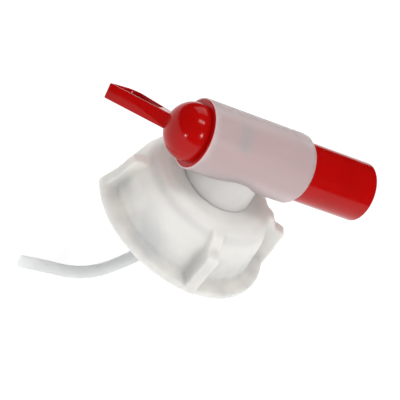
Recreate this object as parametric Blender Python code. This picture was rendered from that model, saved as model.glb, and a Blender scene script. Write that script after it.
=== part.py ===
"""Dispensing tap for a wide-neck container: screw cap, swivelling tap body, turning cock and vent tube.

Metres, +Z up. The origin is on the cap's axis, in the plane where the container's neck bears on the
gasket. +Z runs along the cap's axis, away from the container. +X runs along the barrel, to the spout.
"""
import math

import bmesh
import bpy
from mathutils import Matrix, Vector

# Driving dimensions, in metres
AXIS_HEIGHT = 0.0250            # barrel axis above the gasket seat
BARREL_RADIUS = 0.0140
BARREL_START = -0.0232          # the end that takes the cock's flange
BARREL_END = 0.0250             # the rounded end that the spout leaves
BORE_RADIUS = 0.01215
COUNTERBORE_RADIUS = 0.01345
COUNTERBORE_DEPTH = 0.0022
GROOVE_AT = 0.0170              # snap groove in the bore, and the cock's bead in it
GROOVE_RADIUS = 0.0126
SHOULDER = 0.0030               # rounding of the barrel's spout end
END_FACE_RADIUS = 0.0124        # outer edge of the flat ring that is left inside that rounding

COCK_RADIUS = 0.01182
BEAD_RADIUS = 0.01225
SPOUT_BORE_RADIUS = 0.0097
SPOUT_END = 0.0555
FLANGE_RADIUS = 0.01310
FLANGE_FACE = -0.0235
DOME_RADIUS = 0.0115
DOME_BASE = -0.0252
DOME_HEIGHT = 0.0100
DOME_WALL = 0.0022
DOME_UNDERCUT = 0.0002          # how far the dome's foot stands over its neck
PORT_AT = -0.0075               # centre of the flow port, along the barrel
PORT_WIDTH = 0.0054
PORT_SPREAD = 0.0102
PORT_INNER = 0.006              # the port's guide starts in the spout's bore and ends outside the plug
PORT_OUTER = 0.016
PORT_ANGLE = math.radians(120)  # from +Y towards +Z, in the closed position

LEVER_ANGLE = math.radians(-30)
LEVER_HEIGHT = 0.0061
LEVER_WEB = 0.0018
# Corners of the lever and of its two recesses: along the barrel, out from its axis, corner radius
LEVER_OUTLINE = (
    (-0.0310, -0.0010, 0.0), (-0.0517, 0.0256, 0.0009), (-0.0366, 0.0310, 0.0055),
    (-0.0290, 0.0080, 0.0), (-0.0270, -0.0010, 0.0),
)
LEVER_RECESS = (
    (-0.0372, 0.0095, 0.0008), (-0.0498, 0.0256, 0.0006), (-0.0374, 0.0293, 0.0042),
    (-0.0323, 0.0137, 0.0012),
)

CAP_RIM_RADIUS = 0.0376
CAP_RIM_BOTTOM = -0.0196
CAP_TOP = 0.0064
CAP_PLATE = 0.0022
CAP_HOLE_RADIUS = 0.01205
STEP_INNER = 0.0205             # sloping step from the plate's underside to the gasket's ledge
STEP_OUTER = 0.0215
LUG_THICKNESS = 0.0052
# Corners of the gripping lugs: radius, height, corner radius. The one beside the rim's gap is cut back
LUG_OUTLINE = (
    (0.0225, -0.0185, 0.0), (0.0386, -0.0185, 0.0), (0.0369, -0.0002, 0.0014), (0.0318, 0.0002, 0.0020),
    (0.0284, 0.0040, 0.0), (0.0225, 0.0060, 0.0),
)
END_LUG_OUTLINE = (
    (0.0225, -0.0185, 0.0), (0.0376, -0.0185, 0.0), (0.0374, -0.0168, 0.0), (0.0355, -0.0116, 0.0020),
    (0.0334, 0.0002, 0.0014), (0.0290, 0.0010, 0.0), (0.0225, 0.0020, 0.0),
)
LUGS = (                        # angle round the cap, in degrees, and outline
    (-11.0, LUG_OUTLINE), (81.4, LUG_OUTLINE), (171.4, END_LUG_OUTLINE), (264.5, LUG_OUTLINE),
)
RIM_GAP = (math.radians(85.4), math.radians(167.4))   # the rim is left out between two lugs
RIM_GAP_BOX = (0.0313, 0.0420, -0.0210, -0.0157)      # its inner and outer radius, bottom and top
# Radius and height along the outside, from the flat top's edge to the rim
CAP_OUTSIDE = (
    (0.0218, CAP_TOP), (0.0236, 0.0058), (0.0253, 0.0047), (0.0269, 0.0028), (0.0279, 0.0004),
    (0.0296, -0.0040), (0.0305, -0.0095), (0.0311, -0.0150), (0.0320, -0.0159), (0.0337, -0.0163),
    (0.0366, -0.0166), (CAP_RIM_RADIUS, -0.0175), (CAP_RIM_RADIUS, CAP_RIM_BOTTOM),
)
SKIRT_INSIDE = ((0.0277, -0.0035), (0.0286, -0.0085), (0.0291, -0.0140))
SKIRT_MOUTH = 0.0297
THREAD_TURNS = 1.6
THREAD_PITCH = 0.0060
THREAD_ROOT = 0.0298
THREAD_CREST = 0.0273
THREAD_BOTTOM = -0.0145
THREAD_STEPS_PER_TURN = 40

NECK_RADIUS = 0.01170
BARB_RADIUS = 0.0128            # the snap barb that holds the neck in the cap's hole
BARB_HEIGHT = 0.0008
PEDESTAL_TOP_RADIUS = 0.0129
PEDESTAL_FOOT_RADIUS = 0.0154
PEDESTAL_TOP = AXIS_HEIGHT - 0.0052    # the pedestal rises into the barrel's sides
PEDESTAL_CHAMFER = 0.0008
GAP = 0.0003                    # running gap between neighbours
PAST = 0.0010                   # how far a cutting guide reaches past the face that it cuts
NECK_BOTTOM = 0.0005
FLOW_BORE_RADIUS = 0.0046
FLOW_BORE_AT = -0.0060
AIR_BORE_RADIUS = 0.0009
AIR_BORE_AT = 0.0060
NIPPLE_RADIUS = 0.0016
NIPPLE_BOTTOM = -0.0012
NIPPLE_TOP = 0.0030             # inside the neck
BORE_GUIDE_LOW = -0.0050        # the upright bores run from below the neck into the barrel's bore
BORE_GUIDE_HIGH = AXIS_HEIGHT - 0.0040

GASKET_OUTER = 0.0256
GASKET_INNER = 0.0142
GASKET_THICKNESS = 0.0020

TUBE_RADIUS = 0.0025
TUBE_SPACING = 2.2 * TUBE_RADIUS
TUBE_ROUTE = (                  # from the nipple to the cut end
    (0.0060, 0.0, -0.0015), (0.0059, 0.0, -0.0060), (0.0051, 0.0, -0.0130), (0.0036, 0.0, -0.0205),
    (0.0017, 0.0, -0.0280), (-0.0010, 0.0, -0.0360), (-0.0048, 0.0, -0.0440), (-0.0086, 0.0, -0.0508),
    (-0.0130, 0.0, -0.0568), (-0.0185, 0.0, -0.0608), (-0.0250, 0.0, -0.0629), (-0.0320, 0.0, -0.0637),
    (-0.0385, 0.0, -0.0645), (-0.0450, 0.0, -0.0654),
)

CAP_SEGMENTS = 72
BARREL_SEGMENTS = 56
UPRIGHT_BORE_SEGMENTS = 24
NIPPLE_SEGMENTS = 20
AXIS_POINT = Vector((0.0, 0.0, AXIS_HEIGHT))
ALONG_Z = Matrix.Identity(4)
ALONG_X = Matrix.Translation(AXIS_POINT) @ Matrix.Rotation(math.radians(90), 4, "Y")


def clear_scene():
    for old in list(bpy.data.objects):
        bpy.data.objects.remove(old, do_unlink=True)


def make_material(name, colour, roughness, alpha=1.0):
    material = bpy.data.materials.new(name)
    material.use_nodes = True
    shader = material.node_tree.nodes["Principled BSDF"]
    shader.inputs["Base Color"].default_value = (*colour, 1.0)
    shader.inputs["Roughness"].default_value = roughness
    shader.inputs["Metallic"].default_value = 0.0
    shader.inputs["Alpha"].default_value = alpha
    return material


def add_object(name, mesh_builder, material=None):
    """A new object from a bmesh, with its faces turned outwards and its round faces smooth."""
    bmesh.ops.recalc_face_normals(mesh_builder, faces=mesh_builder.faces)
    mesh = bpy.data.meshes.new(name)
    mesh_builder.to_mesh(mesh)
    mesh_builder.free()
    mesh.shade_smooth()
    mesh.set_sharp_from_angle(angle=math.radians(30))
    made = bpy.data.objects.new(name, mesh)
    bpy.context.collection.objects.link(made)
    if material:
        mesh.materials.append(material)
    return made


def turned(name, outline, placement, segments, material=None):
    """A solid of revolution: a closed outline of (radius, height) points, turned round its own axis."""
    builder = bmesh.new()
    rings = []
    for radius, height in outline:
        if radius == 0.0:
            rings.append([builder.verts.new((0.0, 0.0, height))])
            continue
        turns = [2 * math.pi * step / segments for step in range(segments)]
        rings.append([builder.verts.new((radius * math.cos(t), radius * math.sin(t), height)) for t in turns])
    for index, ring in enumerate(rings):
        other = rings[(index + 1) % len(rings)]
        if len(ring) == 1 and len(other) == 1:
            continue
        for step in range(segments):
            after = (step + 1) % segments
            corners = [ring[step % len(ring)], other[step % len(other)],
                       other[after % len(other)], ring[after % len(ring)]]
            builder.faces.new(list(dict.fromkeys(corners)))
    bmesh.ops.transform(builder, matrix=placement, verts=builder.verts)
    return add_object(name, builder, material)


def extruded(name, outline, depth, placement):
    """A flat outline of (x, y) points, extruded to a depth centred on its own plane."""
    builder = bmesh.new()
    low = [builder.verts.new((x, y, -depth / 2)) for x, y in outline]
    high = [builder.verts.new((x, y, depth / 2)) for x, y in outline]
    builder.faces.new(low)
    builder.faces.new(high)
    for index in range(len(outline)):
        after = (index + 1) % len(outline)
        builder.faces.new((low[index], low[after], high[after], high[index]))
    bmesh.ops.transform(builder, matrix=placement, verts=builder.verts)
    return add_object(name, builder)


def combine(target, other, operation):
    """Joins or cuts the target with another solid, which then only serves as a guide."""
    step = target.modifiers.new(other.name, "BOOLEAN")
    step.operation = operation
    step.object = other
    step.solver = "EXACT"
    other.hide_render = True
    other.display_type = "WIRE"


def rounded_outline(corners, steps=5):
    """A polygon of (x, y, corner radius), with each corner replaced by an arc."""
    points = []
    for index, (x, y, radius) in enumerate(corners):
        here = Vector((x, y))
        before = Vector(corners[index - 1][:2]) - here
        after = Vector(corners[(index + 1) % len(corners)][:2]) - here
        if radius == 0.0:
            points.append((x, y))
            continue
        half = before.angle(after) / 2
        start = here + before.normalized() * radius / math.tan(half)
        end = here + after.normalized() * radius / math.tan(half)
        centre = here + (before.normalized() + after.normalized()).normalized() * radius / math.sin(half)
        for step in range(steps + 1):
            chord = start.lerp(end, step / steps) - centre
            points.append(tuple(centre + chord.normalized() * radius))
    return points


def arc(centre_radius, centre_height, radius_r, radius_h, start, end, steps):
    """Points (radius, height) on an ellipse's arc, by its angles in degrees."""
    angles = [math.radians(start + (end - start) * step / steps) for step in range(steps + 1)]
    return [(centre_radius + radius_r * math.cos(t), centre_height + radius_h * math.sin(t)) for t in angles]


def smooth_route(points, spacing):
    """Points a set distance apart on a Catmull-Rom curve through the route's own points."""
    ends = [2 * Vector(points[0]) - Vector(points[1]), *map(Vector, points),
            2 * Vector(points[-1]) - Vector(points[-2])]
    fine = []
    for a, b, c, d in zip(ends, ends[1:], ends[2:], ends[3:]):
        for step in range(20):
            t = step / 20
            fine.append(0.5 * (2 * b + (c - a) * t + (2 * a - 5 * b + 4 * c - d) * t ** 2
                               + (3 * b - a - 3 * c + d) * t ** 3))
    fine.append(ends[-2])
    kept, walked = [fine[0]], 0.0
    for previous, point in zip(fine, fine[1:]):
        walked += (point - previous).length
        if walked >= spacing:
            kept.append(point)
            walked = 0.0
    if (kept[-1] - fine[-1]).length < spacing / 2:
        kept.pop()
    return kept + [fine[-1]]


def box(name, low, high):
    builder = bmesh.new()
    bmesh.ops.create_cube(builder, size=1.0)
    size = Vector(high) - Vector(low)
    middle = (Vector(high) + Vector(low)) / 2
    bmesh.ops.transform(builder, matrix=Matrix.Translation(middle) @ Matrix.Diagonal((*size, 1.0)),
                        verts=builder.verts)
    return add_object(name, builder)


def ring_sector(name, inner, outer, low, high, start, end, steps=14):
    """A solid sector of a ring round the Z axis, between two angles."""
    angles = [start + (end - start) * step / steps for step in range(steps + 1)]
    outline = [(outer * math.cos(t), outer * math.sin(t)) for t in angles]
    outline += [(inner * math.cos(t), inner * math.sin(t)) for t in reversed(angles)]
    return extruded(name, outline, high - low, Matrix.Translation((0.0, 0.0, (low + high) / 2)))


def thread_ridge():
    """The helical ridge on the inside of the cap's skirt."""
    builder = bmesh.new()
    steps = round(THREAD_TURNS * THREAD_STEPS_PER_TURN)
    foot, flat = 0.0011, 0.0004
    section = ((THREAD_ROOT, -foot), (THREAD_CREST, -flat), (THREAD_CREST, flat), (THREAD_ROOT, foot))
    loops = []
    for step in range(steps + 1):
        turn = 2 * math.pi * THREAD_TURNS * step / steps
        rise = THREAD_BOTTOM + THREAD_PITCH * THREAD_TURNS * step / steps
        corners = [(r * math.cos(turn), r * math.sin(turn), rise + z) for r, z in section]
        loops.append([builder.verts.new(corner) for corner in corners])
    for loop, other in zip(loops, loops[1:]):
        for index in range(len(section)):
            after = (index + 1) % len(section)
            builder.faces.new((loop[index], loop[after], other[after], other[index]))
    builder.faces.new(loops[0])
    builder.faces.new(loops[-1])
    return add_object("thread_guide", builder)


def cap_inside():
    """Hole, plate underside, gasket recess and skirt, as one outline of (radius, height)."""
    plate_underside = CAP_TOP - CAP_PLATE
    ledge = GASKET_THICKNESS + GAP
    recess = GASKET_OUTER + GAP
    hole = [(0.0, CAP_TOP + PAST), (CAP_HOLE_RADIUS, CAP_TOP + PAST),
            (CAP_HOLE_RADIUS, plate_underside)]
    mouth = [(SKIRT_MOUTH, CAP_RIM_BOTTOM - PAST), (0.0, CAP_RIM_BOTTOM - PAST)]
    return [*hole, (STEP_INNER, plate_underside), (STEP_OUTER, ledge), (recess, ledge), (recess, 0.0),
            *SKIRT_INSIDE, *mouth]


def make_screw_cap(material):
    outside = [(0.0, CAP_TOP), *CAP_OUTSIDE, (0.0, CAP_RIM_BOTTOM)]
    cap = turned("screw_cap", outside, ALONG_Z, CAP_SEGMENTS, material)
    for index, (degrees, outline) in enumerate(LUGS):
        turn = Matrix.Rotation(math.radians(degrees), 4, "Z")
        stand = turn @ Matrix.Rotation(math.radians(90), 4, "X")
        lug = extruded(f"lug_guide_{index + 1}", rounded_outline(outline), LUG_THICKNESS, stand)
        combine(cap, lug, "UNION")
    combine(cap, ring_sector("rim_gap_guide", *RIM_GAP_BOX, *RIM_GAP), "DIFFERENCE")
    combine(cap, turned("cap_inside_guide", cap_inside(), ALONG_Z, CAP_SEGMENTS), "DIFFERENCE")
    combine(cap, thread_ridge(), "UNION")
    return cap


def neck_outline():
    """Pedestal, neck and snap barb under the barrel, as one outline of (radius, height)."""
    foot = CAP_TOP + GAP
    barb_top = CAP_TOP - CAP_PLATE - GAP
    return [(0.0, PEDESTAL_TOP), (PEDESTAL_TOP_RADIUS - PEDESTAL_CHAMFER, PEDESTAL_TOP),
            (PEDESTAL_TOP_RADIUS, PEDESTAL_TOP - PEDESTAL_CHAMFER), (PEDESTAL_FOOT_RADIUS, foot),
            (NECK_RADIUS, foot), (NECK_RADIUS, barb_top), (BARB_RADIUS, barb_top),
            (BARB_RADIUS, barb_top - BARB_HEIGHT), (NECK_RADIUS, NECK_BOTTOM), (0.0, NECK_BOTTOM)]


def rod_outline(radius, low, high):
    return [(0.0, high), (radius, high), (radius, low), (0.0, low)]


def barrel_bore():
    """Counterbore, bore and snap groove, as one outline of (radius, place along the barrel)."""
    counterbore_end = BARREL_START + COUNTERBORE_DEPTH
    half_mouth, half_floor = 0.0012, 0.0008
    groove = [(BORE_RADIUS, GROOVE_AT - half_mouth), (GROOVE_RADIUS, GROOVE_AT - half_floor),
              (GROOVE_RADIUS, GROOVE_AT + half_floor), (BORE_RADIUS, GROOVE_AT + half_mouth)]
    return [(0.0, BARREL_START - PAST), (COUNTERBORE_RADIUS, BARREL_START - PAST),
            (COUNTERBORE_RADIUS, counterbore_end), (BORE_RADIUS, counterbore_end), *groove,
            (BORE_RADIUS, BARREL_END + PAST), (0.0, BARREL_END + PAST)]


def make_tap_body(material):
    end_arc = arc(BARREL_RADIUS - SHOULDER, BARREL_END - SHOULDER, SHOULDER, SHOULDER, 0, 62, 5)
    barrel = [(0.0, BARREL_START), (BARREL_RADIUS, BARREL_START), *end_arc, (END_FACE_RADIUS, BARREL_END),
              (0.0, BARREL_END)]
    body = turned("tap_body", barrel, ALONG_X, BARREL_SEGMENTS, material)
    combine(body, turned("neck_guide", neck_outline(), ALONG_Z, BARREL_SEGMENTS), "UNION")
    at_air_bore = Matrix.Translation((AIR_BORE_AT, 0.0, 0.0))
    nipple = rod_outline(NIPPLE_RADIUS, NIPPLE_BOTTOM, NIPPLE_TOP)
    combine(body, turned("nipple_guide", nipple, at_air_bore, NIPPLE_SEGMENTS), "UNION")
    hollow = turned("bore_guide", barrel_bore(), ALONG_X, BARREL_SEGMENTS)
    for name, radius, at in (("flow_bore_guide", FLOW_BORE_RADIUS, FLOW_BORE_AT),
                             ("air_bore_guide", AIR_BORE_RADIUS, AIR_BORE_AT)):
        hole = rod_outline(radius, BORE_GUIDE_LOW, BORE_GUIDE_HIGH)
        place = Matrix.Translation((at, 0.0, 0.0))
        combine(hollow, turned(name, hole, place, UPRIGHT_BORE_SEGMENTS), "UNION")
    combine(body, hollow, "DIFFERENCE")
    return body


def make_cap_gasket(material):
    ring = [(GASKET_INNER, 0.0), (GASKET_OUTER, 0.0), (GASKET_OUTER, GASKET_THICKNESS),
            (GASKET_INNER, GASKET_THICKNESS)]
    return turned("cap_gasket", ring, ALONG_Z, CAP_SEGMENTS, material)


def lever_frame():
    """The lever's plane: its x runs along the barrel, its y outwards along the lever's own direction."""
    outwards = Vector((0.0, math.cos(LEVER_ANGLE), math.sin(LEVER_ANGLE)))
    across = Vector((1.0, 0.0, 0.0)).cross(outwards)
    turn = Matrix(((1.0, 0.0, 0.0), outwards, across)).transposed().to_4x4()
    return Matrix.Translation(AXIS_POINT) @ turn


def cock_outside():
    """Dome, its neck, flange, plug with the snap bead, and spout, as one outline of (radius, place)."""
    chamfer, end_lip = 0.0004, 0.0010
    neck_radius = DOME_RADIUS - DOME_UNDERCUT
    seat = BARREL_START + COUNTERBORE_DEPTH - GAP
    half_foot, half_crest = 0.0007, 0.0003
    dome = arc(0.0, DOME_BASE, DOME_RADIUS, DOME_HEIGHT, -90, -4, 11)
    bead = [(COCK_RADIUS, GROOVE_AT - half_foot), (BEAD_RADIUS, GROOVE_AT - half_crest),
            (BEAD_RADIUS, GROOVE_AT + half_crest), (COCK_RADIUS, GROOVE_AT + half_foot)]
    spout_end = [(COCK_RADIUS, SPOUT_END - end_lip),
                 (COCK_RADIUS - 0.3 * end_lip, SPOUT_END - 0.3 * end_lip),
                 (COCK_RADIUS - end_lip, SPOUT_END)]
    undercut = [(DOME_RADIUS - 0.0001, DOME_BASE), (neck_radius, DOME_BASE + 0.0005),
                (neck_radius, FLANGE_FACE)]
    flange = [(FLANGE_RADIUS - chamfer, FLANGE_FACE), (FLANGE_RADIUS, FLANGE_FACE + chamfer),
              (FLANGE_RADIUS, seat), (COCK_RADIUS, seat)]
    return [(0.0, DOME_BASE - DOME_HEIGHT), *dome[1:], *undercut, *flange, *bead, *spout_end,
            (0.0, SPOUT_END)]


def cock_inside():
    """The hollow dome and the spout's bore, as one outline of (radius, place along the barrel)."""
    inner_dome = arc(0.0, DOME_BASE, SPOUT_BORE_RADIUS, DOME_HEIGHT - DOME_WALL, -90, 0, 8)
    return [(0.0, DOME_BASE - DOME_HEIGHT + DOME_WALL), *inner_dome[1:],
            (SPOUT_BORE_RADIUS, SPOUT_END + PAST), (0.0, SPOUT_END + PAST)]


def make_cock(material):
    cock = turned("cock", cock_outside(), ALONG_X, BARREL_SEGMENTS, material)
    lever = extruded("lever_guide", rounded_outline(LEVER_OUTLINE), LEVER_HEIGHT, lever_frame())
    combine(cock, lever, "UNION")
    cut = LEVER_HEIGHT / 2
    for side, name in ((1, "lever_recess_upper_guide"), (-1, "lever_recess_lower_guide")):
        lift = Matrix.Translation((0.0, 0.0, side * (LEVER_WEB + cut) / 2))
        recess = extruded(name, rounded_outline(LEVER_RECESS), cut, lever_frame() @ lift)
        combine(cock, recess, "DIFFERENCE")
    inside = turned("spout_bore_guide", cock_inside(), ALONG_X, BARREL_SEGMENTS)
    port = box("port_guide", (PORT_AT - PORT_WIDTH / 2, PORT_INNER, -PORT_SPREAD / 2),
               (PORT_AT + PORT_WIDTH / 2, PORT_OUTER, PORT_SPREAD / 2))
    port.data.transform(Matrix.Translation(AXIS_POINT) @ Matrix.Rotation(PORT_ANGLE, 4, "X"))
    combine(inside, port, "UNION")
    combine(cock, inside, "DIFFERENCE")
    return cock


def make_vent_tube(material):
    curve = bpy.data.curves.new("vent_tube", "CURVE")
    curve.dimensions = "3D"
    curve.bevel_depth = TUBE_RADIUS
    curve.bevel_resolution = 3
    curve.use_fill_caps = True
    points = smooth_route(TUBE_ROUTE, TUBE_SPACING)
    spline = curve.splines.new("POLY")
    spline.points.add(len(points) - 1)
    for target, point in zip(spline.points, points):
        target.co = (*point, 1.0)
    curve.materials.append(material)
    tube = bpy.data.objects.new("vent_tube", curve)
    bpy.context.collection.objects.link(tube)
    return tube


def main():
    clear_scene()
    natural = make_material("natural_plastic", (0.78, 0.76, 0.72), 0.42)
    barrel_plastic = make_material("natural_barrel_plastic", (0.72, 0.60, 0.58), 0.38)
    red = make_material("red_plastic", (0.55, 0.008, 0.006), 0.28)
    foam = make_material("white_foam", (0.82, 0.82, 0.80), 0.85)
    hose = make_material("natural_hose", (0.74, 0.75, 0.75), 0.40)
    make_screw_cap(natural)
    make_tap_body(barrel_plastic)
    make_cap_gasket(foam)
    make_cock(red)
    make_vent_tube(hose)


main()
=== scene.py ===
"""Looks of a dispensing tap for a wide-neck container: cap, gasket, tap body, cock with lever, vent tube.

Metres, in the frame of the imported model: the origin is on the cap's axis at the gasket's seat, +Z runs
along the cap's axis away from the container, and +X runs along the barrel to the spout.
"""

import math

import bpy
from bpy.props import FloatProperty, FloatVectorProperty, IntProperty, PointerProperty
from mathutils import Matrix, Vector


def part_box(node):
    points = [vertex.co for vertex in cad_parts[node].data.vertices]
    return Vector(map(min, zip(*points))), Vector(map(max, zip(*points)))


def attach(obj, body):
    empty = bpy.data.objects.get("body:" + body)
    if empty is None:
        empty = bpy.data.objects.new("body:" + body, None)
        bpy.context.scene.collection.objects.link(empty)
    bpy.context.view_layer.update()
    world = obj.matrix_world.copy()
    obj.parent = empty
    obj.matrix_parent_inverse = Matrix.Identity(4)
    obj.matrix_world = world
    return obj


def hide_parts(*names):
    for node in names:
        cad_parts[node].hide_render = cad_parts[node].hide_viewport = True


bl_info = {
    "name": "Container Tap",
    "version": (1, 0, 0),
    "blender": (4, 5, 0),
    "location": "View3D > Sidebar > Tap",
    "description": "Models a translucent container tap with a red cock, its finishes and its stage",
    "category": "Mesh",
}

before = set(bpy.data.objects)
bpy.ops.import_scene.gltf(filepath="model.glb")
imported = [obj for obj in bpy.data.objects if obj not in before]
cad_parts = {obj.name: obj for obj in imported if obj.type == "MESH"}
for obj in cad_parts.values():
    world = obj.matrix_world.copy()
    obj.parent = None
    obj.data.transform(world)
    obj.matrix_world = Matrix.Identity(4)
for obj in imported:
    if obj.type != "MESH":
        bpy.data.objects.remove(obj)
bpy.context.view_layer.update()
BODY_LOW, BODY_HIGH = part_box("tap_body")
SPOUT_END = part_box("cock")[1].x
CAP_LOW, CAP_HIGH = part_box("screw_cap")
GASKET_LOW, GASKET_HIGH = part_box("cap_gasket")
TUBE_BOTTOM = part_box("vent_tube")[0].z

MERGE_DISTANCE = 0.00001
BARREL_RADIUS = 0.0140
AXIS_POINT = Vector((0.0, 0.0, BODY_HIGH.z - BARREL_RADIUS))
ALONG_X = Vector((1.0, 0.0, 0.0))
ALONG_Z = Vector((0.0, 0.0, 1.0))
CAP_PLATE = 0.0022
RUNNING_GAP = 0.0003
FLOOR_CLEARANCE = 0.004         # the tap hangs just over the floor
PAST = 0.0010                   # how far a cutting shape reaches past the face that it cuts

CAP_STEPS = 144                 # faces round the cap before it is softened
STEP_INNER = 0.0205             # sloping step from the plate's underside to the gasket's ledge
STEP_OUTER = 0.0215
SKIRT_INSIDE = ((0.0277, -0.0035), (0.0286, -0.0085), (0.0291, -0.0140))
SKIRT_MOUTH = 0.0297
RIM_GAP = (math.radians(85.4), math.radians(167.4))
RIM_GAP_RADII = (0.0313, 0.0420)
RIM_GAP_MIDDLE = -0.0184
RIM_GAP_HEIGHT = 0.0054
THREAD_TURNS = 1.6
THREAD_PITCH = 0.0060
THREAD_BOTTOM = -0.0145
THREAD_STEPS = 96
THREAD_SECTION = ((0.0298, -0.0011), (0.0273, -0.0004), (0.0273, 0.0004), (0.0298, 0.0011))

END_FACE_RADIUS = 0.0124        # outer edge of the flat ring inside the barrel's rounded end
GROOVE_AT = 0.0170              # snap groove in the bore, and the cock's bead in it
GROOVE_RADIUS = 0.0126
GROOVE_HALF_MOUTH = 0.0012
GROOVE_HALF_FLOOR = 0.0008
BEAD_RISE = 0.0004
BEAD_HALF_FOOT = 0.0007
BEAD_HALF_CREST = 0.0003
BARB_RADIUS = 0.0128            # the snap barb that holds the neck in the cap's hole
BARB_HEIGHT = 0.0008
NECK_BOTTOM = 0.0005
NIPPLE_RADIUS = 0.0016
NIPPLE_TOP = 0.0030
FLOW_BORE_AT = -0.0060
AIR_BORE_RADIUS = 0.0009
PASSAGE_LOW = -0.0050           # the upright passages run from below the neck into the barrel's bore
PASSAGE_HIGH = 0.0210
LIP_LENGTH = 0.0014             # pale part of the barrel round the flange
ROUNDED_LIP = 0.0009
PEDESTAL_TOP_RADIUS = 0.0129
PEDESTAL_FOOT_RADIUS = 0.0154
PEDESTAL_SEAT = CAP_HIGH.z + 0.00004

DOME_BASE = -0.0252
FLANGE_FACE = -0.0235
FLANGE_SEAT = -0.0213
DOME_WALL = 0.0022
SPOUT_LIP = 0.0004
LEVER_OUTLINE = (               # along the barrel, out from its axis, rounding
    (-0.0310, -0.0010, 0.0), (-0.0517, 0.0256, 0.0009), (-0.0366, 0.0310, 0.0055),
    (-0.0290, 0.0080, 0.0), (-0.0270, -0.0010, 0.0),
)
LEVER_RECESS = (
    (-0.0372, 0.0095, 0.0008), (-0.0498, 0.0256, 0.0006), (-0.0374, 0.0293, 0.0042),
    (-0.0323, 0.0137, 0.0012),
)
PORT_AT = -0.0075
PORT_WIDTH = 0.0054
PORT_SPREAD = 0.0102
PORT_INNER = 0.006
PORT_OUTER = 0.016

NECK_TOP = AXIS_POINT.z - BARREL_RADIUS
PEDESTAL_TOP = AXIS_POINT.z - 0.0052    # the pedestal rises into the barrel's sides

# Corners of the gripping lugs: radius, height, rounding. The one beside the rim's gap is cut back
LUG_OUTLINE = (
    (0.0225, -0.0186, 0.0), (0.0384, -0.0186, 0.0), (0.0368, -0.0002, 0.0014), (0.0318, 0.0002, 0.0020),
    (0.0284, 0.0040, 0.0), (0.0225, 0.0060, 0.0),
)
END_LUG_OUTLINE = (
    (0.0225, -0.0186, 0.0), (0.0375, -0.0186, 0.0), (0.0373, -0.0168, 0.0), (0.0354, -0.0116, 0.0020),
    (0.0333, 0.0002, 0.0014), (0.0290, 0.0010, 0.0), (0.0225, 0.0020, 0.0),
)
LUGS = ((-11.0, LUG_OUTLINE), (81.4, LUG_OUTLINE), (171.4, END_LUG_OUTLINE), (264.5, LUG_OUTLINE))

TUBE_ROUTE = (                  # from the nipple to the cut end
    (0.0060, 0.0, -0.0015), (0.0059, 0.0, -0.0060), (0.0051, 0.0, -0.0130), (0.0036, 0.0, -0.0205),
    (0.0017, 0.0, -0.0280), (-0.0010, 0.0, -0.0360), (-0.0048, 0.0, -0.0440), (-0.0086, 0.0, -0.0508),
    (-0.0130, 0.0, -0.0568), (-0.0185, 0.0, -0.0608), (-0.0250, 0.0, -0.0629), (-0.0320, 0.0, -0.0637),
    (-0.0385, 0.0, -0.0645), (-0.0450, 0.0, -0.0654),
)


# ---------------------------------------------------------------- settings

def metres(name, description, default):
    return FloatProperty(name=name, description=description, default=default, min=0.0, unit="LENGTH",
                         precision=5)


def turned(name, description, degrees):
    return FloatProperty(name=name, description=description, default=math.radians(degrees), subtype="ANGLE")


def tint(name, description, default):
    return FloatVectorProperty(name=name, description=description, default=default, size=3,
                               min=0.0, max=1.0, subtype="COLOR")


def share(name, description, default):
    return FloatProperty(name=name, description=description, default=default, min=0.0, max=1.0,
                         subtype="FACTOR")


class CapSettings(bpy.types.PropertyGroup):
    rim_radius: metres("Rim radius", "Outer radius of the flange round the cap's foot", 0.0376)
    plate_radius: metres("Plate radius", "Radius of the flat top before it rounds over", 0.0218)
    plate_thickness: metres("Plate thickness", "Thickness of the flat top", CAP_PLATE)
    hole_radius: metres("Hole radius", "Radius of the hole that the tap's neck turns in", 0.01205)
    lug_thickness: metres("Lug thickness", "Thickness of a gripping lug", 0.0052)
    softness: metres("Softness", "Size of the moulding's rounded edges", 0.00046)
    # Both colours stand in for light: the cool one paints shade on the lower wall, and the warm one paints
    # light on the top, tinted by the pink light that the barrel and cock throw on it.
    light: tint("Cool white", "Colour of the thin lower wall", (0.54, 0.545, 0.54))
    top_colour_with_painted_light: tint("Warm white", "Colour of the thicker top", (0.77, 0.755, 0.715))


class BodySettings(bpy.types.PropertyGroup):
    bore_radius: metres("Bore radius", "Radius of the bore that the cock turns in", 0.01215)
    shoulder: metres("Shoulder", "Rounding of the barrel's spout end", 0.0030)
    seat_radius: metres("Seat radius", "Radius of the recess round the cock's flange", 0.01345)
    seat_depth: metres("Seat depth", "Depth of the recess round the cock's flange", 0.0022)
    neck_radius: metres("Neck radius", "Radius of the neck inside the cap", 0.01170)
    flow_radius: metres("Flow radius", "Radius of the passage through the neck", 0.0046)
    # Partly painted light: the pink tint paints the red cock's light through the wall, which the transmission
    # also lets through.
    colour: tint("Colour", "Colour of the barrel's thin wall", (0.90, 0.79, 0.79))
    neck_colour: tint("Neck colour", "Colour of the thick neck", (0.63, 0.61, 0.595))
    # Painted light: pale pink for the red light showing through, and lighter than the end's own shade.
    lip_colour_with_painted_light: tint("Lip colour", "Colour of the barrel's end round the flange", (0.74, 0.50, 0.52))
    clarity: share("Clarity", "How much light passes straight through the barrel's wall", 0.58)
    segments: IntProperty(name="Segments", description="Faces round the barrel", default=128, min=24, max=256)


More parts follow.
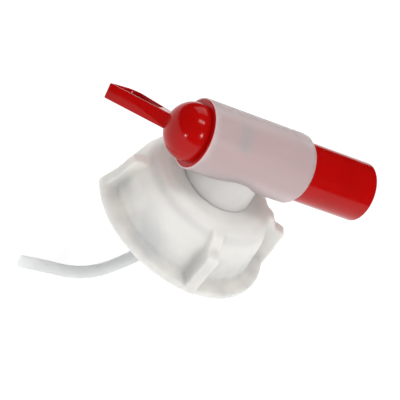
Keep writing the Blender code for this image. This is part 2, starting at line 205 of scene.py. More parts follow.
class CockSettings(bpy.types.PropertyGroup):
    plug_radius: metres("Plug radius", "Radius of the cock and its spout", 0.01182)
    spout_bore: metres("Spout bore", "Radius of the bore of the spout", 0.0097)
    flange_radius: metres("Flange radius", "Radius of the flange in the barrel's end", 0.01333)
    dome_radius: metres("Dome radius", "Radius of the dome's foot", 0.0115)
    dome_height: metres("Dome height", "Height of the dome over its foot", 0.0100)
    lever_angle: turned("Lever angle", "Where the closed lever points, round the barrel", -30.0)
    lever_thickness: metres("Lever thickness", "Width of the lever's rim", 0.0061)
    web_thickness: metres("Web thickness", "Thickness of the web inside the lever's rim", 0.0018)
    port_angle: turned("Port angle", "Where the closed cock's side port points, round the barrel", 120.0)
    colour: tint("Colour", "Colour of the red plastic", (0.41, 0.0015, 0.001))


class GasketSettings(bpy.types.PropertyGroup):
    inner_radius: metres("Inner radius", "Radius of the gasket's hole", 0.0142)
    edge: metres("Edge", "Rounding of the gasket's cut edges", 0.0002)
    colour: tint("Colour", "Colour of the foam", (0.84, 0.84, 0.82))


class TubeSettings(bpy.types.PropertyGroup):
    radius: metres("Radius", "Outer radius of the vent tube", 0.0025)
    bore_radius: metres("Bore radius", "Radius of the vent tube's bore", 0.0017)
    length: metres("Length", "Length of the vent tube along its centre", 0.0933)
    colour: tint("Colour", "Colour of the vent tube", (0.89, 0.90, 0.90))


class StageSettings(bpy.types.PropertyGroup):
    azimuth: turned("Azimuth", "Where the camera stands, turned from -Y towards -X", -38.14)
    elevation: turned("Elevation", "How far the camera looks down", 32.7)
    roll: turned("Roll", "How far the camera is rolled about its line of sight", 42.73)
    distance: metres("Distance", "From the camera to the barrel's centre", 1.070)
    lens: FloatProperty(name="Lens", description="Focal length in millimetres", default=253.3, min=20.0)
    aim_left: metres("Aim left", "How far the view's centre lies left of the barrel's centre", 0.01697)
    aim_below: metres("Aim below", "How far the view's centre lies below the barrel's centre", 0.01868)
    floor_size: metres("Floor size", "Side of the square floor", 8.0)
    floor_colour: tint("Floor colour", "Colour of the floor", (0.50, 0.50, 0.50))
    floor_glow: FloatProperty(name="Floor glow", description="Light given off by the floor", default=0.62,
                              min=0.0)
    sky: FloatProperty(name="Sky", description="Strength of the even light all round", default=0.58, min=0.0)


# ---------------------------------------------------------------- outlines

def arc(centre_r, centre_h, radius_r, radius_h, start, end, steps):
    """Points (radius, height) on an ellipse's arc, by its angles in degrees."""
    turns = [math.radians(start + (end - start) * step / steps) for step in range(steps + 1)]
    return [(centre_r + radius_r * math.cos(t), centre_h + radius_h * math.sin(t)) for t in turns]


def rounded(corners, steps=5):
    """A chain of (radius, height, rounding) corners, with each corner that has a rounding made an arc."""
    points = []
    for index, (x, y, rounding) in enumerate(corners):
        if rounding == 0.0:
            points.append((x, y))
            continue
        here = Vector((x, y))
        before = (Vector(corners[index - 1][:2]) - here).normalized()
        after = (Vector(corners[(index + 1) % len(corners)][:2]) - here).normalized()
        half = before.angle(after) / 2
        centre = here + (before + after).normalized() * rounding / math.sin(half)
        start = here + before * rounding / math.tan(half) - centre
        end = here + after * rounding / math.tan(half) - centre
        for step in range(steps + 1):
            points.append(tuple(centre + start.lerp(end, step / steps).normalized() * rounding))
    return points


def smooth_route(points, steps):
    """Points on a smooth curve through the route's own points."""
    ends = [2 * Vector(points[0]) - Vector(points[1]), *map(Vector, points),
            2 * Vector(points[-1]) - Vector(points[-2])]
    fine = []
    for a, b, c, d in zip(ends, ends[1:], ends[2:], ends[3:]):
        for step in range(steps):
            t = step / steps
            fine.append(0.5 * (2 * b + (c - a) * t + (2 * a - 5 * b + 4 * c - d) * t ** 2
                               + (3 * b - a - 3 * c + d) * t ** 3))
    return [*fine, ends[-2]]


# ---------------------------------------------------------------- modelling

def deselect_all():
    if bpy.context.mode != "OBJECT":
        bpy.ops.object.mode_set(mode="OBJECT")
    bpy.ops.object.select_all(action="DESELECT")


def make_active(piece):
    deselect_all()
    piece.select_set(True)
    bpy.context.view_layer.objects.active = piece


def draw_chain(name, points):
    """Edges drawn from point to point by extruding a single vertex; it stays in edit mode."""
    deselect_all()
    bpy.ops.mesh.primitive_plane_add(size=0.001, location=points[0])
    bpy.context.object.name = name
    bpy.ops.object.mode_set(mode="EDIT")
    bpy.ops.mesh.select_mode(type="VERT")
    bpy.ops.mesh.select_all(action="SELECT")
    bpy.ops.mesh.merge(type="CENTER")
    for before, after in zip(points, points[1:]):
        bpy.ops.mesh.extrude_vertices_move(TRANSFORM_OT_translate={"value": after - before})
    return bpy.context.object


def leave_edit_mode():
    bpy.ops.object.mode_set(mode="OBJECT")
    bpy.ops.object.transform_apply(location=True, rotation=True, scale=True)


def turn(name, outline, centre, axis, segments):
    """A closed shape spun from an outline of (radius, height) points, round an axis along X or Z."""
    side = ALONG_X if axis == ALONG_Z else Vector((0.0, 1.0, 0.0))
    points = [centre + side * radius + axis * height for radius, height in outline]
    if outline[0][0] > 0.0:
        points.append(points[0])
    shape = draw_chain(name, points)
    bpy.ops.mesh.select_all(action="SELECT")
    bpy.ops.mesh.spin(steps=segments, angle=2 * math.pi, center=centre, axis=axis)
    bpy.ops.mesh.select_all(action="SELECT")
    bpy.ops.mesh.remove_doubles(threshold=MERGE_DISTANCE)
    bpy.ops.mesh.normals_make_consistent(inside=False)
    leave_edit_mode()
    return shape


def plate(name, points, thickness):
    """A flat outline of points, filled and extruded by a thickness vector, centred on its own plane."""
    shape = draw_chain(name, [point - thickness / 2 for point in points])
    bpy.ops.mesh.select_all(action="SELECT")
    bpy.ops.mesh.edge_face_add()
    bpy.ops.mesh.extrude_region_move(TRANSFORM_OT_translate={"value": thickness})
    bpy.ops.mesh.select_all(action="SELECT")
    bpy.ops.mesh.normals_make_consistent(inside=False)
    leave_edit_mode()
    return shape


def apply_modifier(piece, kind, **settings):
    make_active(piece)
    modifier = piece.modifiers.new(kind.title(), kind)
    for name, value in settings.items():
        setattr(modifier, name, value)
    bpy.ops.object.modifier_apply(modifier=modifier.name)


def combine(piece, other, operation):
    """Joins another solid to the piece, or cuts it away, and uses that solid up."""
    apply_modifier(piece, "BOOLEAN", operation=operation, object=other, solver="EXACT")
    bpy.data.objects.remove(other)


def finish_piece(piece, sharp_degrees, material):
    """Smooth shading with crisp corners, and the piece's one material."""
    make_active(piece)
    bpy.ops.object.transform_apply(location=True, rotation=True, scale=True)
    bpy.ops.object.shade_smooth_by_angle(angle=math.radians(sharp_degrees))
    piece.data.materials.clear()
    piece.data.materials.append(material)


# ---------------------------------------------------------------- finishes

def new_material(name):
    material = bpy.data.materials.new(name)
    material.use_nodes = True
    return material.node_tree, material.node_tree.nodes["Principled BSDF"], material


def set_inputs(node, **values):
    for name, value in values.items():
        node.inputs[name.replace("_", " ")].default_value = value


def noise(tree, scale, detail=2.0, stretch=(1.0, 1.0, 1.0)):
    """A soft random pattern with about scale patches to the metre, stretched along the axes."""
    place = tree.nodes.new("ShaderNodeTexCoord")
    mapping = tree.nodes.new("ShaderNodeMapping")
    mapping.inputs["Scale"].default_value = stretch
    pattern = tree.nodes.new("ShaderNodeTexNoise")
    set_inputs(pattern, Scale=scale, Detail=detail)
    tree.links.new(place.outputs["Object"], mapping.inputs["Vector"])
    tree.links.new(mapping.outputs["Vector"], pattern.inputs["Vector"])
    return pattern.outputs["Fac"]


def height_share(tree, low, high):
    """From 0 at height low to 1 at height high."""
    place = tree.nodes.new("ShaderNodeTexCoord")
    split = tree.nodes.new("ShaderNodeSeparateXYZ")
    tree.links.new(place.outputs["Object"], split.inputs["Vector"])
    return spread(tree, split.outputs["Z"], low, high, 0.0, 1.0)


def spread(tree, value, from_low, from_high, to_low, to_high):
    """Maps a range of values to another range."""
    ranged = tree.nodes.new("ShaderNodeMapRange")
    set_inputs(ranged, From_Min=from_low, From_Max=from_high, To_Min=to_low, To_Max=to_high)
    tree.links.new(value, ranged.inputs["Value"])
    return ranged.outputs["Result"]


def mix_colours(tree, factor, first, second):
    """A mix of two colours, each a colour value or another node's output."""
    mix = tree.nodes.new("ShaderNodeMix")
    mix.data_type = "RGBA"
    tree.links.new(factor, mix.inputs["Factor"])
    for socket, value in ((mix.inputs[6], first), (mix.inputs[7], second)):
        if isinstance(value, bpy.types.NodeSocket):
            tree.links.new(value, socket)
        else:
            socket.default_value = (*value, 1.0)
    return mix.outputs[2]


def relief(tree, shader, *layers):
    """Bump on the shader from (pattern, depth in metres) layers, the first one lowest."""
    normal = None
    for pattern, depth in layers:
        bump = tree.nodes.new("ShaderNodeBump")
        set_inputs(bump, Strength=1.0, Distance=depth)
        tree.links.new(pattern, bump.inputs["Height"])
        if normal:
            tree.links.new(normal, bump.inputs["Normal"])
        normal = bump.outputs["Normal"]
    tree.links.new(normal, shader.inputs["Normal"])


def shaded(colour_value, factor):
    return tuple(channel * factor for channel in colour_value)


def cap_finish(settings):
    """Frosted natural plastic: waxy, lit from within, with faint flow clouds, and painted light: darker and
    cooler towards the foot, lighter and warmer towards the top.
    """
    tree, shader, material = new_material("natural_cap_plastic")
    clouds = noise(tree, 70.0, 3.0)
    # Painted light and shade: darker and cooler towards the foot, lighter and warmer towards the top.
    base = mix_colours(tree, height_share(tree, -0.012, 0.006), settings.light, settings.top_colour_with_painted_light)
    darker = mix_colours(tree, spread(tree, clouds, 0.35, 0.70, 0.0, 1.0), base,
                         shaded(settings.top_colour_with_painted_light, 0.93))
    tree.links.new(darker, shader.inputs["Base Color"])
    grain = noise(tree, 1500.0, 2.0)
    tree.links.new(spread(tree, grain, 0.3, 0.7, 0.36, 0.48), shader.inputs["Roughness"])
    set_inputs(shader, Subsurface_Weight=0.90, Subsurface_Radius=(1.0, 0.96, 0.92),
               Subsurface_Scale=0.0055, IOR=1.49)
    relief(tree, shader, (noise(tree, 260.0, 2.0), 0.00005), (grain, 0.000006))
    return material


def body_finish(settings):
    """Thin natural plastic that lets the red cock glow through it, with that red glow also painted into its
    pink colour.
    """
    tree, shader, material = new_material("natural_barrel_plastic")
    streaks = noise(tree, 160.0, 3.0, (0.25, 1.0, 1.0))
    tone = mix_colours(tree, spread(tree, streaks, 0.3, 0.7, 0.0, 1.0), settings.colour,
                       shaded(settings.colour, 0.95))
    tree.links.new(tone, shader.inputs["Base Color"])
    grain = noise(tree, 1200.0, 2.0)
    tree.links.new(spread(tree, grain, 0.3, 0.7, 0.34, 0.44), shader.inputs["Roughness"])
    set_inputs(shader, Transmission_Weight=settings.clarity, IOR=1.45, Subsurface_Weight=0.3,
               Subsurface_Radius=(1.0, 0.9, 0.85), Subsurface_Scale=0.0015)
    relief(tree, shader, (noise(tree, 220.0, 2.0, (0.3, 1.0, 1.0)), 0.00003), (grain, 0.000005))
    return material


def bore_finish():
    """The polished bore: clear, so that only the barrel's outside scatters the light."""
    tree, shader, material = new_material("polished_bore")
    polish = noise(tree, 700.0, 2.0, (0.1, 1.0, 1.0))
    tree.links.new(spread(tree, polish, 0.3, 0.7, 0.05, 0.12), shader.inputs["Roughness"])
    set_inputs(shader, Base_Color=(0.97, 0.96, 0.96, 1.0), Transmission_Weight=1.0, IOR=1.45)
    return material


def neck_finish(settings):
    """The thicker neck and its pedestal: milky, like the cap."""
    tree, shader, material = new_material("natural_neck_plastic")
    clouds = noise(tree, 120.0, 3.0)
    tone = mix_colours(tree, spread(tree, clouds, 0.35, 0.65, 0.0, 1.0), settings.neck_colour,
                       shaded(settings.neck_colour, 0.95))
    tree.links.new(tone, shader.inputs["Base Color"])
    grain = noise(tree, 1200.0, 2.0)
    tree.links.new(spread(tree, grain, 0.3, 0.7, 0.34, 0.44), shader.inputs["Roughness"])
    set_inputs(shader, Subsurface_Weight=0.9, Subsurface_Radius=(1.0, 0.95, 0.9), Subsurface_Scale=0.006)
    relief(tree, shader, (noise(tree, 260.0, 2.0), 0.00003), (grain, 0.000005))
    return material


def lip_painted_light_finish(settings):
    """The barrel's thin end round the flange, with painted light: pale and lifted out of its shade, with the
    red light from behind it painted in as a pink colour.
    """
    tree, shader, material = new_material("barrel_lip_painted_light")
    streaks = noise(tree, 300.0, 2.0)
    tone = mix_colours(tree, spread(tree, streaks, 0.3, 0.7, 0.0, 1.0), settings.lip_colour_with_painted_light,
                       shaded(settings.lip_colour_with_painted_light, 0.96))
    tree.links.new(tone, shader.inputs["Base Color"])
    tree.links.new(spread(tree, streaks, 0.3, 0.7, 0.34, 0.44), shader.inputs["Roughness"])
    set_inputs(shader, IOR=1.45, Subsurface_Weight=0.3, Subsurface_Radius=(1.0, 0.8, 0.8),
               Subsurface_Scale=0.0004)
    return material


def red_finish(settings):
    """Glossy red plastic with the soft unevenness of a moulded surface and fine handling marks."""
    tree, shader, material = new_material("red_plastic")
    clouds = noise(tree, 90.0, 3.0)
    tone = mix_colours(tree, spread(tree, clouds, 0.35, 0.65, 0.0, 1.0), settings.colour,
                       shaded(settings.colour, 0.90))
    tree.links.new(tone, shader.inputs["Base Color"])
    marks = noise(tree, 900.0, 2.0, (0.5, 1.0, 1.0))
    tree.links.new(spread(tree, marks, 0.3, 0.7, 0.13, 0.18), shader.inputs["Roughness"])
    set_inputs(shader, IOR=1.46, Specular_IOR_Level=0.25)
    relief(tree, shader, (noise(tree, 180.0, 1.0), 0.00003), (marks, 0.0000008))
    return material


def foam_finish(settings):
    """Matt closed-cell foam with its small pores."""
    tree, shader, material = new_material("white_foam")
    place = tree.nodes.new("ShaderNodeTexCoord")
    cells = tree.nodes.new("ShaderNodeTexVoronoi")
    set_inputs(cells, Scale=2600.0)
    tree.links.new(place.outputs["Object"], cells.inputs["Vector"])
    pores = spread(tree, cells.outputs["Distance"], 0.0, 0.6, 0.0, 1.0)
    # Painted shade: the pores are darker in the pits that the bump makes.
    tone = mix_colours(tree, pores, shaded(settings.colour, 0.86), settings.colour)
    tree.links.new(tone, shader.inputs["Base Color"])
    tree.links.new(spread(tree, noise(tree, 500.0), 0.3, 0.7, 0.78, 0.92), shader.inputs["Roughness"])
    relief(tree, shader, (pores, 0.00006))
    return material


def tube_finish(settings):
    """Extruded natural tubing: milky, with fine drawn lines along it."""
    tree, shader, material = new_material("natural_tube")
    clouds = noise(tree, 140.0, 3.0)
    tone = mix_colours(tree, spread(tree, clouds, 0.35, 0.65, 0.0, 1.0), settings.colour,
                       shaded(settings.colour, 0.93))
    tree.links.new(tone, shader.inputs["Base Color"])
    lines = noise(tree, 700.0, 2.0, (0.15, 1.0, 1.0))
    tree.links.new(spread(tree, lines, 0.3, 0.7, 0.34, 0.48), shader.inputs["Roughness"])
    set_inputs(shader, Transmission_Weight=0.12, IOR=1.40, Subsurface_Weight=0.8,
               Subsurface_Radius=(1.0, 0.97, 0.95), Subsurface_Scale=0.003)
    relief(tree, shader, (lines, 0.00001))
    return material


# ---------------------------------------------------------------- operators

# Soft rectangles of light: name, direction, long axis, distance, width, height, watts, shows in gloss
LIGHTS = (
    ("softbox_left", (-0.83, -0.56, 0.05), (0.0, 0.0, 1.0), 1.1, 0.11, 0.11, 1.1, True),
    ("softbox_front", (0.16, -0.78, 0.60), (1.0, 0.0, 0.0), 1.3, 0.26, 0.22, 3.6, True),
    ("softbox_top", (-0.06, -0.05, 1.0), (0.97, -0.2, 0.0), 1.2, 0.60, 0.20, 3.6, True),
    ("softbox_back", (0.15, 0.72, 0.68), (1.0, 0.0, 0.0), 1.6, 1.10, 0.90, 4.6, True),
    ("fill_front", (0.35, -0.86, 0.30), (1.0, 0.0, 0.0), 1.5, 1.00, 1.00, 2.7, False),
)


class TAP_OT_stage(bpy.types.Operator):
    """Adds the camera, the soft lights, the even sky and the pale floor"""
    bl_idname = "tap.stage"
    bl_label = "Stage"

    def execute(self, context):
        settings = context.scene.tap_stage
        self.add_camera(context, settings)
        self.add_lights()
        self.add_sky(context, settings)
        self.add_floor(settings)
        return {"FINISHED"}

    def add_camera(self, context, settings):
        level = math.cos(settings.elevation)
        back = Vector((math.sin(settings.azimuth) * level, -math.cos(settings.azimuth) * level,
                       math.sin(settings.elevation)))
        roll = Matrix.Rotation(settings.roll, 3, back)
        right = roll @ ALONG_Z.cross(back).normalized()
        up = back.cross(right)
        place = AXIS_POINT + back * settings.distance
        aim = AXIS_POINT - right * settings.aim_left - up * settings.aim_below
        sight = (place - aim).normalized()
        level_right = up.cross(sight).normalized()
        facing = Matrix((level_right, sight.cross(level_right), sight)).transposed()
        deselect_all()
        bpy.ops.object.camera_add(location=place, rotation=facing.to_euler())
        camera = context.object
        camera.name = "camera"
        camera.data.sensor_width = 36.0
        camera.data.lens = settings.lens
        context.scene.camera = camera

    def add_lights(self):
        for name, direction, long_axis, distance, width, height, power, glossy in LIGHTS:
            towards = Vector(direction).normalized()
            up = towards.cross(Vector(long_axis)).normalized()
            facing = Matrix((up.cross(towards), up, towards)).transposed()
            deselect_all()
            bpy.ops.object.light_add(type="AREA", location=AXIS_POINT + towards * distance,
                                     rotation=facing.to_euler())
            light = bpy.context.object
            light.name = name
            light.data.shape = "RECTANGLE"
            light.data.size = width
            light.data.size_y = height
            light.data.energy = power
            light.visible_glossy = glossy

    def add_sky(self, context, settings):
        sky = bpy.data.worlds.new("even_sky")
        sky.use_nodes = True
        background = sky.node_tree.nodes["Background"]
        background.inputs["Color"].default_value = (1.0, 1.0, 1.0, 1.0)
        background.inputs["Strength"].default_value = settings.sky
        context.scene.world = sky
        sky.cycles_visibility.glossy = False
        context.scene.view_settings.view_transform = "Standard"

    def add_floor(self, settings):
        deselect_all()
        below = (0.0, 0.0, TUBE_BOTTOM - FLOOR_CLEARANCE)
        bpy.ops.mesh.primitive_plane_add(size=settings.floor_size, location=below)
        floor = bpy.context.object
        floor.name = "floor"
        tree, shader, material = new_material("pale_floor")
        colours = mix_colours(tree, noise(tree, 3.0), settings.floor_colour,
                              shaded(settings.floor_colour, 0.99))
        tree.links.new(colours, shader.inputs["Base Color"])
        set_inputs(shader, Roughness=0.9, Emission_Color=(1.0, 1.0, 1.0, 1.0),
                   Emission_Strength=settings.floor_glow)
        floor.data.materials.append(material)


class TAP_OT_vent_tube(bpy.types.Operator):
    """Makes the open vent tube that hangs from the nipple inside the cap"""
    bl_idname = "tap.vent_tube"
    bl_label = "Vent tube"

    def execute(self, context):
        settings = context.scene.tap_tube
        route = smooth_route(TUBE_ROUTE, 6)
        spare = (route[-1] - route[-2]).normalized() * settings.radius
        line = bpy.data.curves.new("vent_hose", "CURVE")
        line.dimensions = "3D"
        line.bevel_depth = settings.radius
        line.bevel_resolution = 8
        spline = line.splines.new("POLY")
        spline.points.add(len(route))
        for target, point in zip(spline.points, [*route, route[-1] + spare]):
            target.co = (*point, 1.0)
        hose = bpy.data.objects.new("vent_hose", line)
        context.collection.objects.link(hose)
        make_active(hose)
        bpy.ops.object.convert(target="MESH")
        hose = context.object
        self.cut_end(route[-1])
        apply_modifier(hose, "SOLIDIFY", thickness=settings.radius - settings.bore_radius, offset=-1.0)
        finish_piece(hose, 40.0, tube_finish(settings))
        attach(hose, "body")
        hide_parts("vent_tube")
        return {"FINISHED"}

    def cut_end(self, end):
        """The free end is cut at a slant."""
        bpy.ops.object.mode_set(mode="EDIT")
        bpy.ops.mesh.select_all(action="SELECT")
        bpy.ops.mesh.bisect(plane_co=end, plane_no=(-0.85, 0.36, -0.38), clear_outer=True)
        bpy.ops.object.mode_set(mode="OBJECT")


class TAP_OT_screw_cap(bpy.types.Operator):
    """Moulds the screw cap: dome, four lugs, foot flange, hole and inside thread"""
    bl_idname = "tap.screw_cap"
    bl_label = "Screw cap"

    def execute(self, context):
        settings = context.scene.tap_cap
        cap = turn("cap_shell", self.outside(settings), Vector(), ALONG_Z, CAP_STEPS)
        for degrees, corners in LUGS:
            combine(cap, self.lug(settings, math.radians(degrees), corners), "UNION")
        combine(cap, self.rim_gap(settings), "DIFFERENCE")
        hollow = turn("cap_inside", self.inside(settings), Vector(), ALONG_Z, CAP_STEPS)
        combine(cap, hollow, "DIFFERENCE")
        combine(cap, self.thread(), "UNION")
        apply_modifier(cap, "REMESH", mode="VOXEL", voxel_size=settings.softness)
        apply_modifier(cap, "SMOOTH", factor=0.5, iterations=18)
        finish_piece(cap, 60.0, cap_finish(settings))
        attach(cap, "cap")
        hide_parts("screw_cap")
        return {"FINISHED"}

    def outside(self, settings):
        foot = CAP_LOW.z
        top = CAP_HIGH.z
        return [(0.0, top), *rounded((
            (0.0, top, 0.0), (settings.plate_radius, top, 0.0), (0.0254, 0.0048, 0.0030),
            (0.0279, 0.0006, 0.0010), (0.0296, -0.0040, 0.0030), (0.0312, -0.0156, 0.0008),
            (0.0345, -0.0163, 0.0),
            (settings.rim_radius, -0.0168, 0.0009), (settings.rim_radius, foot, 0.0), (0.0, foot, 0.0)))[1:]]

    def inside(self, settings):
        underside = CAP_HIGH.z - settings.plate_thickness
        ledge = GASKET_HIGH.z + RUNNING_GAP
        wide = GASKET_HIGH.x + RUNNING_GAP
        hole = [(0.0, CAP_HIGH.z + PAST), (settings.hole_radius, CAP_HIGH.z + PAST),
                (settings.hole_radius, underside)]
        mouth = [(SKIRT_MOUTH, CAP_LOW.z - PAST), (0.0, CAP_LOW.z - PAST)]
        return [*hole, (STEP_INNER, underside), (STEP_OUTER, ledge), (wide, ledge), (wide, 0.0),
                *SKIRT_INSIDE, *mouth]

    def lug(self, settings, turn_angle, corners):
        outwards = Vector((math.cos(turn_angle), math.sin(turn_angle), 0.0))
        across = ALONG_Z.cross(outwards) * settings.lug_thickness
        return plate("lug", [outwards * r + ALONG_Z * h for r, h in rounded(corners)], across)

    def rim_gap(self, settings):
        """The foot flange is left out between two of the lugs."""
        start, end = RIM_GAP
        inner, outer = RIM_GAP_RADII
        steps = 24
        turns = [start + (end - start) * step / steps for step in range(steps + 1)]
        ring = [(outer, t) for t in turns] + [(inner, t) for t in reversed(turns)]
        outline = [Vector((radius * math.cos(t), radius * math.sin(t), RIM_GAP_MIDDLE)) for radius, t in ring]
        return plate("rim_gap", outline, ALONG_Z * RIM_GAP_HEIGHT)

    def thread(self):
        """One rounded ridge, wound up the inside of the skirt."""
        ridge = draw_chain("thread", [Vector((r, 0.0, THREAD_BOTTOM + h)) for r, h in THREAD_SECTION])
        bpy.ops.mesh.select_all(action="SELECT")
        bpy.ops.mesh.edge_face_add()
        turn_step = 2 * math.pi * THREAD_TURNS / THREAD_STEPS
        rise = ALONG_Z * THREAD_PITCH * THREAD_TURNS / THREAD_STEPS
        for _ in range(THREAD_STEPS):
            bpy.ops.mesh.extrude_region_move(TRANSFORM_OT_translate={"value": rise})
            bpy.ops.transform.rotate(value=-turn_step, orient_axis="Z", center_override=(0.0, 0.0, 0.0))
        bpy.ops.mesh.select_all(action="SELECT")
        bpy.ops.mesh.normals_make_consistent(inside=False)
        leave_edit_mode()
        return ridge


class TAP_OT_gasket(bpy.types.Operator):
    """Cuts the foam gasket that lies under the cap's plate"""
    bl_idname = "tap.gasket"
    bl_label = "Gasket"

    def execute(self, context):
        settings = context.scene.tap_gasket
        outer, low, high = GASKET_HIGH.x, GASKET_LOW.z, GASKET_HIGH.z
        edge = settings.edge
        section = rounded(((settings.inner_radius, low, edge), (outer, low, edge), (outer, high, edge),
                           (settings.inner_radius, high, edge)), 3)
        gasket = turn("gasket_ring", section, Vector(), ALONG_Z, 128)
        finish_piece(gasket, 40.0, foam_finish(settings))
        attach(gasket, "cap")
        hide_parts("cap_gasket")
        return {"FINISHED"}


class TAP_OT_tap_body(bpy.types.Operator):
    """Moulds the tap body: barrel, pedestal, neck with its snap barb, and the vent nipple"""
    bl_idname = "tap.tap_body"
    bl_label = "Tap body"

    def execute(self, context):
        settings = context.scene.tap_body
        start, end = BODY_LOW.x, BODY_HIGH.x
        shoulder = settings.shoulder
        barrel_outline = [(0.0, start), *rounded(((0.0, start, 0.0), (BARREL_RADIUS, start, 0.0003),
                                                  (BARREL_RADIUS, end, 0.0)), 4)[1:-1],
                          *arc(BARREL_RADIUS - shoulder, end - shoulder, shoulder, shoulder, 0, 62, 10),
                          (END_FACE_RADIUS, end), (0.0, end)]
        body = turn("tap_barrel", barrel_outline, AXIS_POINT, ALONG_X, settings.segments)
        combine(body, turn("neck", self.neck(settings), Vector(), ALONG_Z, settings.segments), "UNION")
        nipple_at = Vector((TUBE_ROUTE[0][0], 0.0, 0.0))
        nipple = self.rod(NIPPLE_RADIUS, BODY_LOW.z, NIPPLE_TOP)
        combine(body, turn("nipple", nipple, nipple_at, ALONG_Z, 32), "UNION")
        hollow = turn("bore", self.bore(settings, start, end), AXIS_POINT, ALONG_X, settings.segments)
        for place, radius in ((ALONG_X * FLOW_BORE_AT, settings.flow_radius), (nipple_at, AIR_BORE_RADIUS)):
            hole = self.rod(radius, PASSAGE_LOW, PASSAGE_HIGH)
            combine(hollow, turn("passage", hole, place, ALONG_Z, 40), "UNION")
        combine(body, hollow, "DIFFERENCE")
        finish_piece(body, 32.0, body_finish(settings))
        self.paint_inside_and_neck(body, settings)
        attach(body, "body")
        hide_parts("tap_body")
        return {"FINISHED"}

    def rod(self, radius, low, high):
        return [(0.0, high), (radius, high), (radius, low), (0.0, low)]

    def paint_inside_and_neck(self, body, settings):
        """Gives the bore's faces and the neck's faces their own finishes."""
        body.data.materials.append(bore_finish())
        body.data.materials.append(neck_finish(settings))
        body.data.materials.append(lip_painted_light_finish(settings))
        wall_middle = (BARREL_RADIUS + settings.bore_radius) / 2
        lip, rounded_lip = BODY_LOW.x + LIP_LENGTH, BODY_HIGH.x - ROUNDED_LIP
        for face in body.data.polygons:
            off_axis = face.center - AXIS_POINT
            if math.hypot(off_axis.y, off_axis.z) < wall_middle:
                face.material_index = 1
            below_barrel = math.hypot(off_axis.y, off_axis.z) > BARREL_RADIUS + MERGE_DISTANCE
            if below_barrel or face.center.z < NECK_TOP or face.center.x > rounded_lip:
                face.material_index = 2
            # The barrel's end round the flange gets the colour with painted light.
            if face.center.x < lip:
                face.material_index = 3

    def neck(self, settings):
        catch = CAP_HIGH.z - CAP_PLATE - RUNNING_GAP
        radius = settings.neck_radius
        return rounded((
            (0.0, PEDESTAL_TOP, 0.0), (PEDESTAL_TOP_RADIUS, PEDESTAL_TOP, 0.0008),
            (PEDESTAL_FOOT_RADIUS, PEDESTAL_SEAT, 0.0004), (radius, PEDESTAL_SEAT, 0.0), (radius, catch, 0.0),
            (BARB_RADIUS, catch, 0.0002), (BARB_RADIUS, catch - BARB_HEIGHT, 0.0), (radius, NECK_BOTTOM, 0.0),
            (0.0, NECK_BOTTOM, 0.0)))

    def bore(self, settings, start, end):
        radius = settings.bore_radius
        seat_end = start + settings.seat_depth
        seat = [(0.0, start - PAST), (settings.seat_radius, start - PAST), (settings.seat_radius, seat_end),
                (radius, seat_end)]
        groove = [(radius, GROOVE_AT - GROOVE_HALF_MOUTH), (GROOVE_RADIUS, GROOVE_AT - GROOVE_HALF_FLOOR),
                  (GROOVE_RADIUS, GROOVE_AT + GROOVE_HALF_FLOOR), (radius, GROOVE_AT + GROOVE_HALF_MOUTH)]
        return [*seat, *groove, (radius, end + PAST), (0.0, end + PAST)]


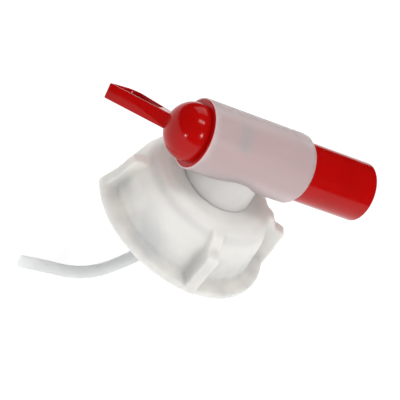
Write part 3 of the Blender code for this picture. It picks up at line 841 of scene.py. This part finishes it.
class TAP_OT_cock(bpy.types.Operator):
    """Moulds the red cock: plug and spout, flange, dome and the lever with its two recesses"""
    bl_idname = "tap.cock"
    bl_label = "Cock"

    def execute(self, context):
        settings = context.scene.tap_cock
        cock = turn("cock_and_lever", self.outside(settings), AXIS_POINT, ALONG_X, 128)
        combine(cock, self.lever(settings), "UNION")
        hollow = turn("spout_bore", self.inside(settings), AXIS_POINT, ALONG_X, 128)
        combine(hollow, self.port(settings), "UNION")
        combine(cock, hollow, "DIFFERENCE")
        finish_piece(cock, 32.0, red_finish(settings))
        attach(cock, "cock")
        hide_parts("cock")
        return {"FINISHED"}

    def outside(self, settings):
        radius, neck = settings.plug_radius, settings.dome_radius - 0.0001
        flange, crest = settings.flange_radius, settings.plug_radius + BEAD_RISE
        dome = arc(0.0, DOME_BASE, settings.dome_radius, settings.dome_height, -90, -4, 26)
        foot = ((*dome[-1], 0.0), (settings.dome_radius, DOME_BASE + 0.0002, 0.0),
                (neck, DOME_BASE + 0.0006, 0.0), (neck, FLANGE_FACE, 0.0))
        seat = ((flange, FLANGE_FACE, 0.0004), (flange, FLANGE_SEAT, 0.0), (radius, FLANGE_SEAT, 0.0))
        bead = ((radius, GROOVE_AT - BEAD_HALF_FOOT, 0.0), (crest, GROOVE_AT - BEAD_HALF_CREST, 0.0),
                (crest, GROOVE_AT + BEAD_HALF_CREST, 0.0), (radius, GROOVE_AT + BEAD_HALF_FOOT, 0.0))
        rest = rounded((*foot, *seat, *bead, (radius, SPOUT_END, 0.0009), (0.0, SPOUT_END, 0.0)))
        return [(0.0, DOME_BASE - settings.dome_height), *dome[1:], *rest[1:]]

    def inside(self, settings):
        radius = settings.spout_bore
        wide = radius + SPOUT_LIP
        depth = settings.dome_height - DOME_WALL
        hollow = arc(0.0, DOME_BASE, radius, depth, -90, 0, 14)
        return [(0.0, DOME_BASE - depth), *hollow[1:], (radius, SPOUT_END - SPOUT_LIP), (wide, SPOUT_END),
                (wide, SPOUT_END + PAST), (0.0, SPOUT_END + PAST)]

    def lever_point(self, settings, along, out):
        outwards = Vector((0.0, math.cos(settings.lever_angle), math.sin(settings.lever_angle)))
        return AXIS_POINT + ALONG_X * along + outwards * out

    def lever(self, settings):
        outwards = self.lever_point(settings, 0.0, 1.0) - AXIS_POINT
        across = ALONG_X.cross(outwards)
        lever = plate("lever", [self.lever_point(settings, *p) for p in rounded(LEVER_OUTLINE, 8)],
                      across * settings.lever_thickness)
        cut = settings.lever_thickness / 2
        for side in (1, -1):
            shift = across * side * (settings.web_thickness + cut) / 2
            points = [self.lever_point(settings, *p) + shift for p in rounded(LEVER_RECESS, 6)]
            combine(lever, plate("recess", points, across * cut), "DIFFERENCE")
        apply_modifier(lever, "BEVEL", width=0.00045, segments=3, limit_method="ANGLE",
                       angle_limit=math.radians(40))
        return lever

    def port(self, settings):
        """The side port of the cock, turned to its closed place."""
        out = Vector((0.0, math.cos(settings.port_angle), math.sin(settings.port_angle)))
        across = ALONG_X.cross(out)
        middle = AXIS_POINT + ALONG_X * PORT_AT + out * (PORT_INNER + PORT_OUTER) / 2
        corners = [middle + ALONG_X * x * PORT_WIDTH / 2 + across * y * PORT_SPREAD / 2
                   for x, y in ((-1, -1), (1, -1), (1, 1), (-1, 1))]
        return plate("port", corners, out * (PORT_OUTER - PORT_INNER))


class TAP_PT_panel(bpy.types.Panel):
    """Lists the steps that make the tap, in their order"""
    bl_idname = "TAP_PT_panel"
    bl_label = "Container Tap"
    bl_space_type = "VIEW_3D"
    bl_region_type = "UI"
    bl_category = "Tap"

    def draw(self, context):
        for operator, settings in STEPS:
            box = self.layout.box()
            box.operator(operator.bl_idname)
            group = getattr(context.scene, settings)
            for name in group.bl_rna.properties.keys():
                if name not in ("rna_type", "name"):
                    box.prop(group, name)


STEPS = (
    (TAP_OT_stage, "tap_stage"),
    (TAP_OT_vent_tube, "tap_tube"),
    (TAP_OT_screw_cap, "tap_cap"),
    (TAP_OT_gasket, "tap_gasket"),
    (TAP_OT_tap_body, "tap_body"),
    (TAP_OT_cock, "tap_cock"),
)
SETTINGS = {
    "tap_stage": StageSettings, "tap_tube": TubeSettings, "tap_cap": CapSettings,
    "tap_gasket": GasketSettings, "tap_body": BodySettings, "tap_cock": CockSettings,
}


def register():
    for name, group in SETTINGS.items():
        bpy.utils.register_class(group)
        setattr(bpy.types.Scene, name, PointerProperty(type=group))
    for operator, _ in STEPS:
        bpy.utils.register_class(operator)
    bpy.utils.register_class(TAP_PT_panel)


def unregister():
    bpy.utils.unregister_class(TAP_PT_panel)
    for operator, _ in reversed(STEPS):
        bpy.utils.unregister_class(operator)
    for name, group in SETTINGS.items():
        delattr(bpy.types.Scene, name)
        bpy.utils.unregister_class(group)


def main():
    register()
    bpy.ops.tap.stage()
    bpy.ops.tap.vent_tube()
    bpy.ops.tap.screw_cap()
    bpy.ops.tap.gasket()
    bpy.ops.tap.tap_body()
    bpy.ops.tap.cock()


if __name__ == "__main__":
    main()
